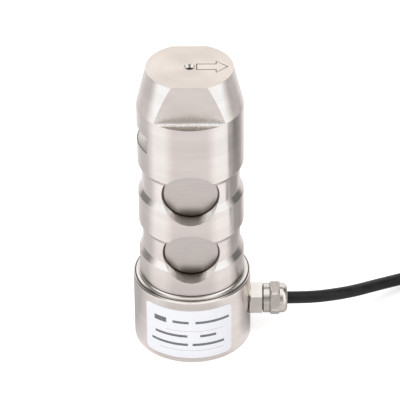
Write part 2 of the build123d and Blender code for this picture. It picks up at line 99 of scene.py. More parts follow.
# Wiring of the finishes

class Wiring:
    """Adds nodes to one tree. A value is a number, a colour or another node's output."""

    def __init__(self, tree):
        self.tree = tree

    def add(self, kind, feeds=(), **settings):
        node = self.tree.nodes.new(kind)
        for name, value in settings.items():
            setattr(node, name, value)
        for socket, value in dict(feeds).items():
            self.feed(node.inputs[socket], value)
        return node

    def feed(self, socket, value):
        if isinstance(value, bpy.types.NodeSocket):
            self.tree.links.new(value, socket)
        elif socket.type == "RGBA" and len(value) == 3:
            socket.default_value = (*value, 1)
        else:
            socket.default_value = value

    def math(self, operation, first, second=0.0):
        return self.add("ShaderNodeMath", {0: first, 1: second}, operation=operation).outputs[0]

    def plus(self, first, second):
        return self.math("ADD", first, second)

    def minus(self, first, second):
        return self.math("SUBTRACT", first, second)

    def size_of(self, value):
        return self.math("ABSOLUTE", value)

    def over(self, value, limit):
        return self.math("GREATER_THAN", value, limit)

    def under(self, value, limit):
        return self.math("LESS_THAN", value, limit)

    def between(self, value, low, high):
        return self.times(self.over(value, low), self.under(value, high))

    def beside(self, mask):
        """Everywhere but in the mask."""
        return self.minus(1.0, mask)

    def times(self, *values):
        """Numbers multiplied, or the place where all the masks meet."""
        result = values[0]
        for value in values[1:]:
            result = self.math("MULTIPLY", result, value)
        return result

    def either(self, *masks):
        result = masks[0]
        for mask in masks[1:]:
            result = self.math("MAXIMUM", result, mask)
        return result

    def fade(self, value, start, end, low=0.0, high=1.0):
        """Goes smoothly from low to high as the value goes from start to end."""
        node = self.add("ShaderNodeMapRange", {0: value, 1: start, 2: end, 3: low, 4: high})
        node.interpolation_type = "SMOOTHSTEP"
        return node.outputs[0]

    def by_mask(self, mask, low, high):
        """Low outside a soft mask, high inside it."""
        return self.fade(mask, 0.0, 1.0, low, high)

    def blend(self, share, first, second):
        """A number between two numbers."""
        return self.add("ShaderNodeMix", {0: share, 2: first, 3: second}, data_type="FLOAT").outputs[0]

    def tint(self, share, first, second):
        """A colour between two colours."""
        return self.add("ShaderNodeMix", {0: share, 6: first, 7: second}, data_type="RGBA").outputs[2]

    def scaled(self, colour, factor):
        """A colour made darker or lighter."""
        return self.add("ShaderNodeVectorMath", {0: colour, "Scale": factor}, operation="SCALE").outputs[0]

    def noise(self, place, scale, detail=2.0, roughness=0.5):
        feeds = {"Vector": place, "Scale": scale, "Detail": detail, "Roughness": roughness}
        return self.add("ShaderNodeTexNoise", feeds).outputs["Fac"]

    def place(self):
        return self.add("ShaderNodeTexCoord").outputs["Object"]

    def facing(self):
        """The way that the face itself looks, as x, y and z."""
        return self.split(self.add("ShaderNodeNewGeometry").outputs["True Normal"])

    def rounded_edges(self, radius):
        return self.add("ShaderNodeBevel", {"Radius": radius}, samples=4).outputs[0]

    def turned_about(self, axis):
        """The way of the turning lines, for stretched highlights."""
        return self.add("ShaderNodeTangent", direction_type="RADIAL", axis=axis).outputs[0]

    def angle(self, up, along):
        """Angle of a way from one axis towards another, in degrees."""
        return self.times(self.math("ARCTAN2", up, along), 180 / math.pi)

    def angle_about_pin(self, x, y):
        """Degrees round the pin, from the front, with the gland's side at 90."""
        return self.angle(x, self.times(y, -1.0))

    def follow(self, value, low, high, stops):
        """A grey that follows a value from low to high through these stops."""
        share = self.math("DIVIDE", self.minus(value, low), high - low)
        node = self.add("ShaderNodeValToRGB", {0: share})
        elements = node.color_ramp.elements
        for element, stop in zip(elements, (stops[0], stops[-1])):
            element.position = (stop[0] - low) / (high - low)
        for stop in stops[1:-1]:
            elements.new((stop[0] - low) / (high - low))
        # greys above 1 are halved in the ramp and doubled after it
        for element, (_, grey) in zip(elements, stops):
            element.color = (grey / 2, grey / 2, grey / 2, 1)
        return self.times(node.outputs[0], 2.0)

    def split(self, vector):
        return self.add("ShaderNodeSeparateXYZ", {0: vector}).outputs

    def join(self, x, y, z):
        return self.add("ShaderNodeCombineXYZ", {0: x, 1: y, 2: z}).outputs[0]

    def length(self, first, second):
        return self.math("SQRT", self.plus(self.times(first, first), self.times(second, second)))

    def group(self, tree, **feeds):
        node = self.add("ShaderNodeGroup", node_tree=tree)
        for name, value in feeds.items():
            self.feed(node.inputs[name.replace("_", " ").capitalize()], value)
        return node.outputs


def effect(name, inputs, outputs):
    """An empty shared effect with named inputs and outputs, and its wiring."""
    tree = bpy.data.node_groups.new(name, "ShaderNodeTree")
    kinds = {"number": "NodeSocketFloat", "vector": "NodeSocketVector"}
    for label, kind in inputs.items():
        tree.interface.new_socket(label, in_out="INPUT", socket_type=kinds[kind])
    for label, kind in outputs.items():
        tree.interface.new_socket(label, in_out="OUTPUT", socket_type=kinds[kind])
    wiring = Wiring(tree)
    return tree, wiring, wiring.add("NodeGroupInput").outputs, wiring.add("NodeGroupOutput").inputs


# Shared effects

DRIFT_LINES = 160.0
LINE_WANDER, DRIFT_WANDER = 0.9, 0.35
BRUSH_STRETCH = 0.035
SPECKS_PER_CLOUD = 14.0


def make_turned_lines():
    """Fine lines left by turning: they run round the axis, on walls and on end faces."""
    tree, w, given, result = effect(
        "turned_lines", {"Place": "vector", "Lines": "number"}, {"Height": "number", "Drift": "number"})
    x, y, z = w.split(given["Place"])
    out = w.length(x, y)
    angle = w.math("ARCTAN2", y, x)
    spot = w.join(w.times(out, given["Lines"]), w.times(z, given["Lines"]), w.times(angle, LINE_WANDER))
    w.feed(result["Height"], w.noise(spot, 1.0, detail=3.0, roughness=0.6))
    slow = w.join(w.times(out, DRIFT_LINES), w.times(z, DRIFT_LINES), w.times(angle, DRIFT_WANDER))
    w.feed(result["Drift"], w.noise(slow, 1.0))
    return tree


def make_brushed_lines():
    """Straight brushing or milling lines: close together across, drawn out along."""
    tree, w, given, result = effect(
        "brushed_lines", {"Along": "number", "Across": "number", "Lines": "number"}, {"Height": "number"})
    spot = w.join(w.times(given["Along"], w.times(given["Lines"], BRUSH_STRETCH)),
                  w.times(given["Across"], given["Lines"]), 0.0)
    w.feed(result["Height"], w.noise(spot, 1.0, detail=3.0, roughness=0.62))
    return tree


def make_handling():
    """Clouds of handling marks, and small dull specks."""
    tree, w, given, result = effect(
        "handling", {"Place": "vector", "Size": "number"}, {"Cloud": "number", "Specks": "number"})
    cloud = w.noise(given["Place"], given["Size"], detail=4.0, roughness=0.55)
    w.feed(result["Cloud"], w.fade(cloud, 0.35, 0.68))
    speck = w.noise(given["Place"], w.times(given["Size"], SPECKS_PER_CLOUD), detail=1.0)
    w.feed(result["Specks"], w.fade(speck, 0.68, 0.76))
    return tree


def make_printed_bar():
    """A plain bar of ink between two angles and two heights."""
    names = ("Around", "Up", "Left", "Right", "Low", "High")
    tree, w, given, result = effect("printed_bar", {name: "number" for name in names}, {"Ink": "number"})
    across = w.between(given["Around"], given["Left"], given["Right"])
    upward = w.between(given["Up"], given["Low"], given["High"])
    w.feed(result["Ink"], w.times(across, upward))
    return tree


TURNED_LINES = make_turned_lines()
BRUSHED_LINES = make_brushed_lines()
HANDLING = make_handling()
PRINTED_BAR = make_printed_bar()


# Finishes

STEEL = (0.755, 0.705, 0.655)
TIP_STEEL = (0.815, 0.737, 0.662)
NICKEL = (0.76, 0.71, 0.65)
GAP_SHADE_BROWN = (0.17, 0.118, 0.085)
INK = (0.04, 0.043, 0.055)
UPRIGHT = {"Anisotropic_Rotation": 0.25}


def new_material(name, metallic=0.0, **sockets):
    """A material with a Principled surface whose constant values sit on its own sockets."""
    material = bpy.data.materials.new(name)
    material.use_nodes = True
    w = Wiring(material.node_tree)
    surface = material.node_tree.nodes["Principled BSDF"]
    surface.inputs["Metallic"].default_value = metallic
    for socket, value in sockets.items():
        w.feed(surface.inputs[socket.replace("_", " ")], value)
    return material, w, surface.inputs


def add_bump(w, surface, height, strength, distance, normal=None):
    feeds = {"Height": height, "Strength": strength, "Distance": distance}
    if normal is not None:
        feeds["Normal"] = normal
    w.feed(surface["Normal"], w.add("ShaderNodeBump", feeds).outputs[0])


def pocket_masks(w, x, z, side):
    """The inside of the four gauge pockets, and their round walls."""
    pockets, walls = [], []
    for height in POCKET_HEIGHTS:
        span = w.length(x, w.minus(z, height))
        inside = w.over(side, COVER_FACE - BELOW_COVER_FACE)
        pockets.append(w.times(inside, w.under(span, POCKET_RADIUS + EDGE)))
        walls.append(w.over(span, POCKET_RADIUS - SKIN))
    return w.either(*pockets), w.either(*(w.times(pocket, wall) for pocket, wall in zip(pockets, walls)))


def pin_steel():
    """The pin's stainless: turned lands and head, milled flats, slot and pockets, polished shoulder."""
    material, w, surface = new_material("stainless_turned", 1.0, Anisotropic=0.65, **UPRIGHT)
    place = w.place()
    x, y, z = w.split(place)
    side = w.size_of(y)
    out = w.length(x, y)
    facing = w.facing()

    # where each kind of work on the bar is
    tip_face = w.over(z, TOP - SKIN)
    flat = w.times(w.over(z, CONE_FOOT + SKIN), w.over(side, FLAT_FACE - EDGE), w.beside(tip_face))
    ledge = w.times(w.between(z, CONE_FOOT - SKIN, CONE_FOOT + SKIN), w.over(facing[2], 0.9))
    # painted highlight: the inner band of the ledge and the fillet at the foot of each flat, lightened by 1.25 further
    # on
    foot = w.times(w.between(z, CONE_FOOT - SKIN, CONE_FOOT + 0.9 * MM),
                   w.between(side, FLAT_FACE + HAIR, FLAT_FACE + 2.2 * MM))
    slot = w.times(w.under(x, -SLOT_FLOOR + SKIN), w.between(z, SLOT_LOW - HAIR, SLOT_HIGH + HAIR),
                   w.under(out, PIN_RADIUS - EDGE))
    # painted shade: the slot's downward-facing roof and its band near the outer surface, darkened to 0.38 further on
    slot_painted_shade = w.times(slot, w.either(w.under(facing[2], -0.9), w.over(out, PIN_RADIUS - 0.6 * MM)))
    pocket, pocket_wall = pocket_masks(w, x, z, side)
    # painted shade: the pocket floor, seen in the gap round each cover, goes most of the way to a dark brown, and the
    # pocket walls are darkened to 0.9
    pocket_floor = w.times(pocket, w.under(side, COVER_FACE + 0.25 * MM))
    centre_hole = w.times(w.under(out, CENTRE_HOLE_RADIUS), w.between(z, TOP - CENTRE_HOLE_DEPTH, TOP - EDGE))
    # painted shade: the centre hole below its mouth, darkened to 0.08 further on
    centre_bore = w.times(centre_hole, w.under(z, TOP - CENTRE_BORE_FROM))
    shoulder = w.times(w.between(z, SHOULDER - 1.7 * MM, SHOULDER + 1.6 * MM), w.over(out, PIN_RADIUS - 0.3 * MM))
    lip = w.times(shoulder, w.between(out, 27.72 * MM, 28.2 * MM))
    # painted reflection: two thin dark rings on the polished shoulder, near its outer edge and at the foot of its
    # wall, darkened to 0.12 further on
    outer_line = w.times(shoulder, w.between(out, 26.98 * MM, 27.56 * MM), w.over(z, SHOULDER - 1.1 * MM))
    inner_line = w.times(shoulder, w.under(out, PIN_RADIUS + 0.15 * MM),
                         w.between(z, SHOULDER + 0.95 * MM, SHOULDER + 1.55 * MM))
    painted_reflection_lines = w.either(outer_line, inner_line)
    groove = w.times(w.under(out, PIN_RADIUS - EDGE), w.between(z, GROOVES_LOW, GROOVES_HIGH), w.beside(pocket))
    head = w.under(z, SHOULDER - 1.7 * MM)
    milled = w.either(flat, ledge, slot, pocket)
    coarse = w.either(ledge, slot, w.times(pocket_wall, 0.7))

    turned = w.group(TURNED_LINES, place=place, lines=5200.0)
    along_flat = w.group(BRUSHED_LINES, along=x, across=z, lines=4200.0)
    along_face = w.group(BRUSHED_LINES, along=x, across=y, lines=4200.0)
    brushed = w.blend(w.over(w.size_of(facing[2]), 0.7), along_flat["Height"], along_face["Height"])
    marks = w.group(HANDLING, place=place, size=55.0)
    cutter = w.noise(place, 1900.0, detail=3.0, roughness=0.7)
    lines = w.blend(w.either(milled, tip_face), turned["Height"], brushed)

    roughness = 0.2
    for where, value in ((head, 0.22), (groove, 0.17), (milled, 0.32), (tip_face, 0.34), (shoulder, 0.06),
                         (centre_hole, 0.14)):
        roughness = w.blend(where, roughness, value)
    w.feed(surface["Roughness"], w.plus(roughness, w.by_mask(marks["Cloud"], -0.02, 0.04)))

    tone = w.blend(coarse, w.blend(milled, 1.0, 1.07), w.fade(cutter, 0.36, 0.62, 0.72, 1.32))
    outer_ledge = w.times(ledge, w.fade(side, FLAT_FACE + 2.5 * MM, PIN_RADIUS - 0.6 * MM))
    low_on_flat = w.times(flat, w.fade(z, CONE_FOOT + 7 * MM, CONE_FOOT + 1 * MM))
    slot_share = w.fade(x, -24 * MM, -20.5 * MM, 0.82, 1.3)
    flat_share = w.fade(cutter, 0.36, 0.62, 0.88, 1.24)
    for where, share in ((slot, slot_share), (slot_painted_shade, 0.38), (centre_bore, 0.08), (pocket_wall, 0.9),
                         (painted_reflection_lines, 0.12), (foot, 1.25), (outer_ledge, 0.6), (low_on_flat, flat_share)):
        tone = w.times(tone, w.blend(where, 1.0, share))
    tone = w.times(tone, w.fade(turned["Drift"], 0.3, 0.7, 0.96, 1.03), w.by_mask(marks["Specks"], 1.0, 0.93))
    shade = w.scaled(w.tint(tip_face, STEEL, TIP_STEEL), tone)
    # painted shade: dark brown on the pocket floors
    w.feed(surface["Base Color"], w.tint(w.times(pocket_floor, 0.9), shade, GAP_SHADE_BROWN))

    depth = w.blend(milled, w.blend(shoulder, 0.012, 0.002), 0.024)
    relief = w.blend(coarse, w.times(lines, depth), w.times(cutter, 0.05))
    relief = w.plus(relief, w.times(cutter, w.blend(w.either(shoulder, milled, tip_face), 0.006, 0.0)))
    # the wall of a pocket opens outwards a little at its two sides, the foot of a flat leans out,
    # and the shoulder's lip leans up
    at_sides = w.either(w.fade(x, -6.5 * MM, -10.5 * MM), w.fade(x, 3.5 * MM, 8.5 * MM))
    lean = w.plus(w.times(pocket_wall, at_sides, 0.72), w.times(foot, w.fade(cutter, 0.4, 0.6, 0.15, 0.6)))
    lean = w.join(0.0, w.times(lean, w.math("SIGN", y)), w.times(lip, 0.9))
    leaned = w.add("ShaderNodeVectorMath", {0: w.rounded_edges(0.25 * MM), 1: lean}, operation="ADD").outputs[0]
    leaned = w.add("ShaderNodeVectorMath", {0: leaned}, operation="NORMALIZE").outputs[0]
    add_bump(w, surface, relief, 0.4, 1.0 * MM, leaned)
    w.feed(surface["Tangent"], w.turned_about("Z"))
    return material


def sheet_steel(name, tone, roughness):
    """Thin stainless disc with lines brushed across it, and painted shade in its joint, mostly at its left, and
    towards its foot.
    """
    material, w, surface = new_material(name, 1.0, Anisotropic=0.5, **UPRIGHT)
    place = w.place()
    x, _, z = w.split(place)
    lines = w.group(BRUSHED_LINES, along=x, across=z, lines=2600.0)["Height"]
    marks = w.group(HANDLING, place=place, size=140.0)
    shade = w.times(w.fade(lines, 0.3, 0.7, 0.93, 1.04), w.by_mask(marks["Cloud"], 0.97, 1.02),
                    w.by_mask(marks["Specks"], 1.0, 0.88))
    # painted shade, darkened to 0.22: towards the middle of the foot, round the lower rim, and in a crescent at the
    # left of the edge
    lower, upper = (w.minus(height, z) for height in POCKET_HEIGHTS)
    below = w.blend(w.over(z, sum(POCKET_HEIGHTS) / 2), lower, upper)
    middle = w.times(w.fade(below, 7 * MM, 12.4 * MM), w.fade(w.size_of(x), 11 * MM, 4 * MM))
    rim = w.times(w.fade(w.length(x, below), 9.6 * MM, 13 * MM), w.fade(below, 1 * MM, 7 * MM), 0.8)
    joint = w.fade(w.length(w.minus(x, 0.6 * MM), below), 12.75 * MM, 13.2 * MM)
    shade = w.times(shade, w.blend(w.either(middle, rim, joint), 1.0, 0.22))
    w.feed(surface["Base Color"], w.scaled(tuple(value * tone for value in STEEL), shade))
    w.feed(surface["Roughness"], w.by_mask(marks["Cloud"], roughness - 0.03, roughness + 0.05))
    w.feed(surface["Tangent"], w.turned_about("Z"))
    add_bump(w, surface, lines, 0.3, 0.015 * MM)
    return material


def turned_metal(name, colour, roughness, lines=4500.0, relief=0.3):
    """A small turned or plated piece, with lines round an upright axis."""
    material, w, surface = new_material(name, 1.0, Anisotropic=0.3, **UPRIGHT)
    place = w.place()
    turned = w.group(TURNED_LINES, place=place, lines=lines)
    marks = w.group(HANDLING, place=place, size=150.0)
    shade = w.times(w.fade(turned["Drift"], 0.3, 0.7, 0.95, 1.04), w.by_mask(marks["Specks"], 1.0, 0.9))
    w.feed(surface["Base Color"], w.scaled(colour, shade))
    w.feed(surface["Roughness"], w.by_mask(marks["Cloud"], roughness - 0.02, roughness + 0.06))
    w.feed(surface["Tangent"], w.turned_about("Z"))
    add_bump(w, surface, turned["Height"], relief, 0.01 * MM, w.rounded_edges(0.12 * MM))
    return material


def moulded(name, colour, roughness, grain=900.0, relief=0.2, **sockets):
    """Moulded or extruded plastic and rubber: a fine grain, dull patches and a little dust."""
    material, w, surface = new_material(name, 0.0, **sockets)
    place = w.place()
    marks = w.group(HANDLING, place=place, size=130.0)
    dusty = tuple(value + 0.02 for value in colour)
    w.feed(surface["Base Color"], w.tint(w.times(marks["Cloud"], 0.4), colour, dusty))
    w.feed(surface["Roughness"], w.by_mask(marks["Cloud"], roughness - 0.05, roughness + 0.07))
    add_bump(w, surface, w.noise(place, grain, roughness=0.6), relief, 0.02 * MM)
    return material


def gland_nickel():
    """Satin nickel: bright hexagon body and collar, a rougher nut hexagon, and a polished dome, with painted light on
    the body hexagon's upper faces and painted shade on lower faces, underneath and in the gaps.
    """
    material, w, surface = new_material("gland_nickel", 1.0, Anisotropic=0.3, **UPRIGHT)
    place = w.place()
    x, y, z = w.split(place)
    flats_from, flats_to = NUT_FLATS
    nut_flats = w.between(x, flats_from, flats_to)
    gaps = w.either(w.between(x, *GLAND_GAP), w.between(x, flats_from - 0.3 * MM, flats_from + EDGE))
    dome = w.over(x, flats_to)
    hexagon = w.under(x, GLAND_GAP[0])
    upper = w.over(w.facing()[2], 0.7)
    low_down = w.times(w.fade(z, GLAND_HEIGHT + 3 * MM, GLAND_HEIGHT + 0.5 * MM), w.beside(hexagon))
    grain = w.fade(w.noise(place, 2300.0, detail=3.0, roughness=0.65), 0.36, 0.62, 0.84, 1.18)
    turned = w.group(TURNED_LINES, place=w.join(y, w.minus(z, GLAND_HEIGHT), x), lines=5000.0)
    marks = w.group(HANDLING, place=place, size=150.0)
    # painted light and shade: the round parts darker underneath, the lower faces of both hexagons darker, the body
    # hexagon's upper faces lighter, and the two gaps darkened to 0.3
    round_share = w.blend(low_down, 1.0, w.blend(dome, 0.66, 0.78))
    shade = w.times(
        w.fade(turned["Drift"], 0.3, 0.7, 0.95, 1.04),
        w.blend(nut_flats, round_share, w.blend(upper, 0.82, 1.0)),
        w.blend(hexagon, 1.0, w.blend(upper, 0.82, 1.08)),
        w.blend(nut_flats, 1.0, grain),
        w.by_mask(marks["Specks"], 1.0, 0.9),
        w.blend(gaps, 1.0, 0.3))
    w.feed(surface["Base Color"], w.scaled(NICKEL, shade))
    satin = w.blend(nut_flats, w.blend(low_down, 0.15, 0.3), 0.4)
    roughness = w.blend(dome, satin, w.blend(low_down, 0.09, 0.24))
    w.feed(surface["Roughness"], w.plus(roughness, w.by_mask(marks["Cloud"], -0.02, 0.04)))
    w.feed(surface["Tangent"], w.turned_about("X"))
    add_bump(w, surface, turned["Height"], 0.3, 0.01 * MM, w.rounded_edges(0.12 * MM))
    return material


# Left and right edge in degrees round the head, lower and upper edge in mm
LABEL_BARS = (
    (-39.0, -25.5, 22.6, 25.4),
    (-19.0, -3.0, 23.3, 24.7), (3.5, 38.5, 23.3, 24.7),
    (-38.0, -4.5, 15.3, 16.7), (8.0, 24.0, 15.3, 16.7),
    (-42.5, -4.0, 10.3, 11.7), (0.5, 32.5, 10.3, 11.7),
)
LABEL_RULES = ((-27.0, 32.0, 18.8, 19.05), (-33.0, 32.0, 7.4, 7.65))


def label_paper():
    """White coated label with two thin rules and plain bars in place of print."""
    material, w, surface = new_material("label_paper", 0.0, Specular_IOR_Level=0.35)
    place = w.place()
    x, y, z = w.split(place)
    around = w.angle_about_pin(x, y)
    up = w.math("DIVIDE", z, MM)

    def printed(spans):
        return w.either(*(
            w.group(PRINTED_BAR, around=around, up=up, left=left, right=right, low=low, high=high)["Ink"]
            for left, right, low, high in spans))

    fibre = w.noise(place, 1500.0, detail=3.0, roughness=0.6)
    paper = w.tint(w.fade(fibre, 0.3, 0.7), (0.84, 0.85, 0.885), (0.88, 0.89, 0.92))
    inked = w.times(printed(LABEL_BARS), w.fade(fibre, 0.2, 0.6, 0.72, 0.88))
    ruled = w.times(printed(LABEL_RULES), 0.4)
    w.feed(surface["Base Color"], w.tint(w.either(inked, ruled), paper, INK))
    w.feed(surface["Roughness"], w.fade(fibre, 0.3, 0.7, 0.38, 0.5))
    add_bump(w, surface, fibre, 0.15, 0.01 * MM)
    return material


def gauge_film():
    """Amber backing film with the foil grid of a strain gauge."""
    material, w, surface = new_material("gauge_film", 0.0, Coat_Weight=0.4)
    place = w.place()
    x = w.split(place)[0]
    wave = w.add("ShaderNodeTexWave", {"Vector": place, "Scale": 900.0, "Distortion": 0.0}, bands_direction="Z")
    foil = w.times(w.over(wave.outputs["Fac"], 0.55), w.under(w.size_of(x), 1.6 * MM))
    w.feed(surface["Base Color"], w.tint(foil, (0.62, 0.36, 0.08), (0.55, 0.42, 0.33)))
    w.feed(surface["Metallic"], foil)
    w.feed(surface["Roughness"], w.blend(foil, 0.25, 0.35))
    add_bump(w, surface, foil, 0.3, 0.005 * MM)
    return material


def board_mask():
    """Green solder mask with tracks under it."""
    material, w, surface = new_material("board_green", 0.0, Coat_Weight=0.3)
    feeds = {"Vector": w.place(), "Scale": 260.0, "Mortar Size": 0.05}
    tracks = w.add("ShaderNodeTexBrick", feeds, offset=0.4).outputs["Fac"]
    w.feed(surface["Base Color"], w.tint(tracks, (0.03, 0.2, 0.07), (0.05, 0.3, 0.1)))
    w.feed(surface["Roughness"], w.blend(tracks, 0.35, 0.28))
    add_bump(w, surface, tracks, 0.2, 0.01 * MM)
    return material


# The studio: plain light on everything, and the greys of its wall, screens and floor in bare metal.
# Angles are in degrees. Round the pin, 0 is the front and 90 the gland's side. Each side has a bright screen
# and a dark flag behind it. Low down and on the floor, the flag on the gland's side is the darker one.

SCREEN_STARTS, SCREEN_ENDS, FLAG_STARTS, FLAG_ENDS = 55, 80, 100, 125
SOFT_EDGE = 20


def ring_of_greys(front, screen, left_flag, right_flag, back):
    """Stops of grey round the pin, laid out alike on both sides."""
    sides = []
    for flag in (left_flag, right_flag):
        sides.append([
            (SCREEN_STARTS - SOFT_EDGE, front), (SCREEN_STARTS, screen), (SCREEN_ENDS, screen),
            (FLAG_STARTS, flag), (FLAG_ENDS, flag), (FLAG_ENDS + SOFT_EDGE, back), (179, back)])
    left, right = sides
    return tuple((-turn, grey) for turn, grey in reversed(left)) + tuple(right)


LOW_WALL = ring_of_greys(front=0.7, screen=1.3, left_flag=0.3, right_flag=0.2, back=1.0)
SCREENS = ring_of_greys(front=1.0, screen=1.3, left_flag=0.2, right_flag=0.2, back=1.0)
# the ring close by is mostly darker, as painted shadow of the pin
FLOOR_CLOSE_BY = ring_of_greys(front=0.8, screen=1.0, left_flag=0.7, right_flag=0.5, back=0.7)
FLOOR_MIDDLE = ring_of_greys(front=0.9, screen=1.2, left_flag=0.7, right_flag=0.4, back=0.9)
FLOOR_FAR = ring_of_greys(front=0.9, screen=1.4, left_flag=0.8, right_flag=0.7, back=1.0)
# Over the pin, from the front's horizon to the back's: a gap, a wide screen overhead, a gap, a screen behind
OVERHEAD = ((1, 0.6), (35, 0.3), (65, 1.2), (100, 1.2), (112, 0.3), (140, 1.2), (179, 0.8))
FLOOR_REACH = 1.6
FLOOR_CORNERS = 64
# Distances from the pin at which one ring of the floor gives way to the next, in metres
CLOSE_BY_TO_MIDDLE, MIDDLE_TO_FAR, FAR_TO_WALL = (0.09, 0.12), (0.35, 0.4), (0.8, 0.9)
# Where the floor is a little darker or lighter: distances in metres, angles in degrees
BY_HEAD, LEFT_OF_HEAD, RIGHT_OF_HEAD = (0.08, 0.06), (-60, -80), (104, 116)
RIGHT_BAND, RIGHT_BAND_OUT = (83, 118), (0.15, 0.185)
GLAND_OUT, BY_GLAND = 0.04, (0.014, 0.008)
PLAIN_LIGHT = 0.95
COOL_WHITE, COOL_BETWEEN = (0.93, 1.0, 1.07), (1.05, 1.45)
WALL_TINT, FLOOR_TINT = (1.0, 0.99, 1.0), (1.0, 0.972, 1.0)
WHITE = (1, 1, 1)
PAPER = (0.86, 0.86, 0.86)
PAPER_GLOW = 0.45


def make_studio_rim():
    """Greys of the studio round about, low down, by the way that they lie."""
    tree, w, given, result = effect("studio_rim", {"Way": "vector"}, {"Turn": "number", "Tone": "number"})
    x, y, _ = w.split(given["Way"])
    turn = w.angle_about_pin(x, y)
    w.feed(result["Turn"], turn)
    w.feed(result["Tone"], w.follow(turn, -180, 180, LOW_WALL))
    return tree


def tinted_grey(w, tone, tint):
    """A grey with a slight tint, which goes to a cooler white where it is brightest."""
    return w.scaled(w.tint(w.fade(tone, *COOL_BETWEEN), tint, COOL_WHITE), tone)


def studio_world(rim):
    """White to the lens, plain light on the surfaces, and soft screens overhead in bare metal."""
    world = bpy.data.worlds.new("studio")
    world.use_nodes = True
    bpy.context.scene.world = world
    w = Wiring(world.node_tree)
    background = world.node_tree.nodes["Background"]
    way = w.add("ShaderNodeTexCoord").outputs["Generated"]
    x, y, z = w.split(way)
    over = w.follow(w.angle(z, w.times(y, -1.0)), 0, 180, OVERHEAD)
    low = w.group(rim, way=way)
    screens = w.follow(low["Turn"], -180, 180, SCREENS)
    around = w.blend(w.fade(z, 0.22, 0.38), low["Tone"], screens)
    tone = w.blend(w.fade(w.size_of(x), 0.3, 0.5), over, around)
    path = w.add("ShaderNodeLightPath").outputs
    tone = w.blend(path["Is Glossy Ray"], PLAIN_LIGHT, tone)
    w.feed(background.inputs["Color"], w.tint(path["Is Camera Ray"], tinted_grey(w, tone, WALL_TINT), WHITE))
    background.inputs["Strength"].default_value = 1.0


def floor_greys(w, rim):
    """Greys of the floor, in rings about the pin, as bare metal shows them."""
    place = w.add("ShaderNodeNewGeometry").outputs["Position"]
    x, y, _ = w.split(place)
    out = w.length(x, y)
    low = w.group(rim, way=place)
    turn = low["Turn"]
    close_by, middle, far = (
        w.follow(turn, -180, 180, stops) for stops in (FLOOR_CLOSE_BY, FLOOR_MIDDLE, FLOOR_FAR))
    by_head = w.fade(out, *BY_HEAD)
    left_share = w.blend(w.times(by_head, w.fade(turn, *LEFT_OF_HEAD)), 1.0, 0.82)
    right_share = w.blend(w.times(by_head, w.fade(turn, *RIGHT_OF_HEAD)), 1.0, 1.35)
    close_by = w.times(close_by, w.times(left_share, right_share))
    band_share = w.fade(out, *RIGHT_BAND_OUT, 1.1, 0.76)
    middle = w.times(middle, w.blend(w.between(turn, *RIGHT_BAND), 1.0, band_share))
    tone = w.blend(w.fade(out, *CLOSE_BY_TO_MIDDLE), close_by, middle)
    tone = w.blend(w.fade(out, *MIDDLE_TO_FAR), tone, far)
    tone = w.blend(w.fade(out, *FAR_TO_WALL), tone, low["Tone"])
    # painted shadow: the mirrored floor round the gland, darkened to 0.75
    by_gland = w.fade(w.length(w.minus(x, GLAND_OUT), y), *BY_GLAND)
    return w.times(tone, w.blend(by_gland, 1.0, 0.75))


def studio_floor(rim):
    """A plain white floor, with the greys that it shows in bare metal."""
    mesh = bpy.data.meshes.new("floor")
    step = 2 * math.pi / FLOOR_CORNERS
    edge = [(FLOOR_REACH * math.cos(step * i), FLOOR_REACH * math.sin(step * i), 0) for i in range(FLOOR_CORNERS)]
    mesh.from_pydata(edge, [], [list(range(FLOOR_CORNERS))])
    floor = bpy.data.objects.new("floor", mesh)
    bpy.context.scene.collection.objects.link(floor)
    material = bpy.data.materials.new("floor")
    material.use_nodes = True
    mesh.materials.append(material)
    net = material.node_tree
    net.nodes.remove(net.nodes["Principled BSDF"])
    w = Wiring(net)
    colour = tinted_grey(w, floor_greys(w, rim), FLOOR_TINT)
    path = w.add("ShaderNodeLightPath").outputs
    paper = w.add("ShaderNodeBsdfDiffuse", {"Color": PAPER}).outputs[0]
    glow = w.add("ShaderNodeEmission", {"Color": WHITE, "Strength": PAPER_GLOW}).outputs[0]
    lit = w.add("ShaderNodeAddShader", {0: paper, 1: glow}).outputs[0]
    mirrored = w.add("ShaderNodeEmission", {"Color": colour, "Strength": 1.0}).outputs[0]
    show = w.add("ShaderNodeMixShader", {0: path["Is Camera Ray"], 1: paper, 2: lit}).outputs[0]
    show = w.add("ShaderNodeMixShader", {0: path["Is Glossy Ray"], 1: show, 2: mirrored}).outputs[0]
    w.feed(net.nodes["Material Output"].inputs["Surface"], show)


def soft_lamp(name, place, target, size, power):
    """A soft lamp that lights the dull surfaces and doesn't show in bare metal."""
    lamp = bpy.data.lights.new(name, "AREA")
    lamp.shape = "RECTANGLE"
    lamp.size, lamp.size_y = size
    lamp.energy = power
    held = bpy.data.objects.new(name, lamp)
    held.location = place
    held.rotation_euler = (Vector(target) - Vector(place)).to_track_quat("-Z", "Y").to_euler()
    held.visible_glossy = False
    bpy.context.scene.collection.objects.link(held)


STUDIO_RIM = make_studio_rim()
studio_world(STUDIO_RIM)
studio_floor(STUDIO_RIM)
soft_lamp("overhead", place=(-0.3, -0.5, 1.3), target=(0, 0, 0.08), size=(0.9, 0.9), power=6.0)


# Cable, its coil and its end, in mm

EXIT = (46.1, 0.0, 18.2)
ROUTE = [(57.0, 0.0, 18.2), (68.3, 3.0, 17.5), (79.3, 9.8, 14.8), (89.8, 19.8, 10.8),
         (100.6, 29.2, 7.0), (111.0, 36.3, 4.9), (121.8, 40.6, 4.0), (132.8, 42.8, 4.0)]
CABLE_RADIUS = 3.0
TURN_PITCH = 6.1
COLUMN_RADII = (38.9, 32.8, 26.7)
LEAD_IN = 23.0
TURNS = 13.78
POINTS_A_TURN = 24
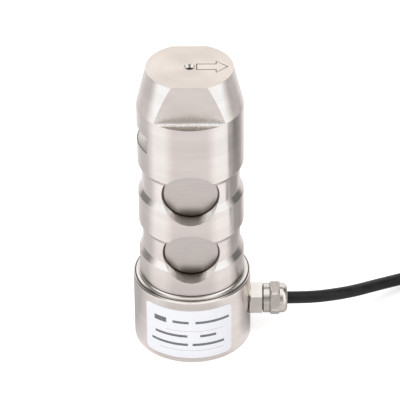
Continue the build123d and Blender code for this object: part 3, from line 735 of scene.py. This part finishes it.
# The cable climbs or sinks a layer, or moves a column, in this share of a turn
STEP_SHARE = 0.2
LAYER_STEPS = 4
FIRST_CLIMB, SINKING, SECOND_CLIMB = 0.8, 5.4, 10.0
COLUMN_MOVES = (4.6, 9.2)
COIL_TOP = 31.4
END_RADIUS = 29.75
END_HEIGHT = 34.8
END_RUN = (-6.0, 3.0)
SLEEVE_LENGTH = 12.0
CORE_RADIUS, TINNED_RADIUS = 0.65, 0.42
CORE_STRAIGHT = 3
BARE_TIP = 4.0
FAN_SPACING = 3.6
FAN_DEGREES = (18, 34, 50)
CORE_COLOURS = (
    ("red", (0.45, 0.03, 0.03)), ("green", (0.03, 0.22, 0.07)), ("white", (0.72, 0.72, 0.7)),
    ("black", (0.02, 0.02, 0.02)))


def coil_frame():
    """The coil's centre, its lead-in's heading, and the way from its centre to the lead-in, in mm."""
    start, before = Vector(ROUTE[-1]), Vector(ROUTE[-2])
    heading = start - before
    heading.z = 0
    heading.normalize()
    outward = Vector((-heading.y, heading.x, 0))
    centre = start + heading * LEAD_IN - outward * COLUMN_RADII[0]
    centre.z = 0
    return centre, heading, outward


def eased(value, start, end):
    share = min(1.0, max(0.0, (value - start) / (end - start)))
    return share * share * (3 - 2 * share)


def layers_passed(turn, first):
    """How many layers the cable has passed, one a turn, from this turn on."""
    return sum(eased(turn, first + step, first + step + STEP_SHARE) for step in range(LAYER_STEPS))


def winding(turn):
    """Radius and height of the cable in the coil, in mm, after so many turns from its lead-in."""
    climbed = layers_passed(turn, FIRST_CLIMB) - layers_passed(turn, SINKING) + layers_passed(turn, SECOND_CLIMB)
    moved = sum(eased(turn, move, move + STEP_SHARE) for move in COLUMN_MOVES)
    return COLUMN_RADII[0] - TURN_PITCH * moved, ROUTE[-1][2] + TURN_PITCH * climbed


def spoke(angle):
    """The level way out from the coil's centre at an angle."""
    return Vector((math.cos(angle), math.sin(angle), 0))


def coil_points():
    centre, heading, outward = coil_frame()
    begin = math.atan2(outward.y, outward.x)
    # a spline of this order runs inside its control points by this share
    widen = 1 / (0.75 + 0.25 * math.cos(2 * math.pi / POINTS_A_TURN))
    points = []
    for step in range(1, int(TURNS * POINTS_A_TURN)):
        turn = step / POINTS_A_TURN
        radius, height = winding(turn)
        points.append(centre + spoke(begin - 2 * math.pi * turn) * radius * widen + Vector((0, 0, height)))
    along = centre + outward * END_RADIUS
    points += [along + heading * step + Vector((0, 0, END_HEIGHT)) for step in END_RUN]
    return points


def rounded_curve(name, points, radius, resolution=6, bevel=4):
    """A round tube along a smooth run of points in mm."""
    curve = bpy.data.curves.new(name, "CURVE")
    curve.dimensions = "3D"
    curve.bevel_depth = radius * MM
    curve.bevel_resolution = bevel
    curve.resolution_u = resolution
    curve.use_fill_caps = True
    spline = curve.splines.new("NURBS")
    spline.points.add(len(points) - 1)
    for spot, point in zip(spline.points, points):
        spot.co = (*(Vector(point) * MM), 1)
    spline.order_u = 3
    spline.use_endpoint_u = True
    piece = bpy.data.objects.new(name, curve)
    bpy.context.scene.collection.objects.link(piece)
    return piece


def finish_piece(piece, material):
    piece.data.materials.append(material)
    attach(piece, "root")
    return piece


jacket = moulded("cable_jacket", (0.008, 0.008, 0.0085), 0.42, grain=700.0, relief=0.25, Specular_IOR_Level=0.28)
cable_line = rounded_curve("sensor_cable", [EXIT, *ROUTE, *coil_points()], CABLE_RADIUS, resolution=4, bevel=8)
cable = finish_piece(cable_line, jacket)
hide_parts("cable", "cable_coil")
# the photograph shows no coil, so bare metal doesn't mirror it
cable.visible_glossy = False


def end_cores():
    """Four coloured cores with bare tinned tips, fanned out over the coil from the sleeve's mouth."""
    centre, heading, outward = coil_frame()
    mouth = centre + outward * END_RADIUS + heading * (CABLE_RADIUS + SLEEVE_LENGTH) + Vector((0, 0, END_HEIGHT))
    rest = Vector((0, 0, COIL_TOP + CORE_RADIUS))
    tin = turned_metal("tinned_strands", (0.72, 0.71, 0.7), 0.32, lines=9000.0)
    made = []
    for (name, colour), step, level in zip(CORE_COLOURS, (-1.5, -0.5, 0.5, 1.5), (1, -1, -1, 1)):
        first = mouth + outward * math.copysign(1.0, step) + Vector((0, 0, level))
        radius = COLUMN_RADII[1] - TURN_PITCH / 2 + step * FAN_SPACING * CORE_RADIUS
        begin = math.atan2(first.y - centre.y, first.x - centre.x)
        fan = [centre + spoke(begin - math.radians(degrees)) * radius + rest for degrees in FAN_DEGREES]
        away = (fan[2] - fan[1]).normalized()
        cut = fan[2] - away * BARE_TIP
        core = rounded_curve(f"core_{name}", [first, first + heading * CORE_STRAIGHT, *fan[:2], cut], CORE_RADIUS)
        tip = rounded_curve(f"core_tip_{name}", [cut, cut + away * BARE_TIP / 2, fan[2]], TINNED_RADIUS)
        finish_piece(core, moulded(f"core_{name}", colour, 0.4))
        finish_piece(tip, tin)
        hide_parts("cable_end_cores")
        made += [core, tip]
    return made


cores = end_cores()


# Finishes on the CAD pieces

def dress(material, *names):
    for name in names:
        data = nodes[name].data
        data.materials.clear()
        data.materials.append(material)


gauges = [f"{level}_{face}" for level in ("lower", "upper") for face in ("front", "back")]
black_rubber = moulded("rubber_black", (0.012, 0.012, 0.012), 0.7, grain=1200.0)
black_plastic = moulded("claw_plastic", (0.02, 0.02, 0.02), 0.45, grain=1000.0)
dress(pin_steel(), "pin_body")
dress(sheet_steel("stainless_gauge_cover", 0.92, 0.33), *(f"gauge_cover_{g}" for g in gauges))
dress(gauge_film(), *(f"strain_gauge_{g}" for g in gauges))
dress(moulded("terminal_strip", (0.42, 0.32, 0.14), 0.5), *(f"gauge_terminals_{g}" for g in gauges))
dress(moulded("lead_wire", (0.6, 0.56, 0.48), 0.45), *(f"gauge_leads_{g}" for g in gauges))
dress(turned_metal("stainless_cover", STEEL, 0.28, lines=2400.0, relief=0.5), "end_cover")
dress(turned_metal("screw_steel", (0.62, 0.6, 0.58), 0.25), "end_cover_screws", "board_screws")
dress(black_rubber, "end_cover_seal", "gland_washer", "gland_seal")
dress(gland_nickel(), "gland_body", "gland_nut")
dress(black_plastic, "gland_claw")
dress(jacket, "cable_tail")
dress(moulded("core_insulation", (0.45, 0.05, 0.04), 0.4), "cable_inner_cores")
dress(moulded("shrink_sleeve", (0.014, 0.014, 0.015), 0.5, grain=500.0, relief=0.3), "cable_end_sleeve")
dress(moulded("tie_plastic", (0.02, 0.02, 0.021), 0.35), "coil_ties")
dress(label_paper(), "label")
dress(board_mask(), "junction_board")
dress(moulded("resistor_body", (0.18, 0.32, 0.5), 0.3, Coat_Weight=0.3), "trim_resistors")
dress(turned_metal("standoff_brass", (0.72, 0.52, 0.22), 0.25), "board_standoffs")


# Arrow on the tip's end face

ARROW_LINE_RADIUS = 0.32 * MM
ARROW_FLATTENED = 0.12


def tip_arrow():
    """Outline of an arrow that shows the direction of load, as a thin dark line."""
    tail, neck, point = 3.3, 12.2, 17.5
    shaft, head = 2.45, 5.0
    outline = [(tail, -shaft), (neck, -shaft), (neck, -head), (point, 0.1), (neck, head), (neck, shaft), (tail, shaft)]
    curve = bpy.data.curves.new("tip_arrow", "CURVE")
    curve.dimensions = "3D"
    curve.bevel_depth = ARROW_LINE_RADIUS
    curve.bevel_resolution = 1
    spline = curve.splines.new("POLY")
    spline.points.add(len(outline) - 1)
    for spot, (along, across) in zip(spline.points, outline):
        spot.co = (along * MM, across * MM, 0, 1)
    spline.use_cyclic_u = True
    piece = bpy.data.objects.new("tip_arrow", curve)
    bpy.context.scene.collection.objects.link(piece)
    piece.location = (0, 0, TOP)
    piece.scale = (1, 1, ARROW_FLATTENED)
    return piece


engraved = moulded("engraved_line", (0.035, 0.024, 0.018), 0.6, grain=3000.0, Specular_IOR_Level=0.2)
finish_piece(tip_arrow(), engraved)

bpy.context.scene.view_settings.view_transform = "Standard"
